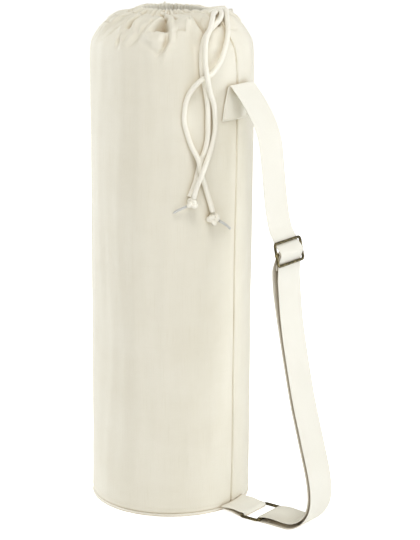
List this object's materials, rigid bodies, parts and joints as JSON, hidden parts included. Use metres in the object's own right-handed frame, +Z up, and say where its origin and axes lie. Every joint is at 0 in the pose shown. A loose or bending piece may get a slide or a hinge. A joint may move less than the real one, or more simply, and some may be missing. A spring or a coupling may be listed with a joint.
{
  "type": "yoga mat bag",
  "caption": "Tall round canvas yoga mat bag with a gathered drawcord mouth, piped base and a webbing shoulder strap with slider and base ring.",
  "frame": {"origin": "centre of the round base, on the surface the bag stands on", "axes": "+Z up along the bag, +X out through the side seam and the shoulder strap, +Y across the strap"},
  "size_m": [0.3584, 0.216, 0.671],
  "materials": {
    "canvas": "matt cotton canvas",
    "webbing": "matt cotton webbing",
    "cord_cotton": "soft round cotton cord",
    "tip_binding": "wound thread, slightly grey",
    "aged_brass": "aged, dark, with worn lighter edges"
  },
  "bodies": {
    "root": {"bag_body": "canvas", "mouth_hem": "canvas", "base_disc": "canvas", "base_piping": "canvas", "shoulder_strap": "webbing", "ring_tab": "webbing", "strap_slider": "aged_brass", "base_ring": "aged_brass", "drawcord": "cord_cotton", "cord_front": "cord_cotton", "cord_middle": "cord_cotton", "cord_back": "cord_cotton", "knot_right": "cord_cotton", "knot_left": "cord_cotton", "tip_right": "tip_binding", "tip_left": "tip_binding"}
  },
  "joints": []
}
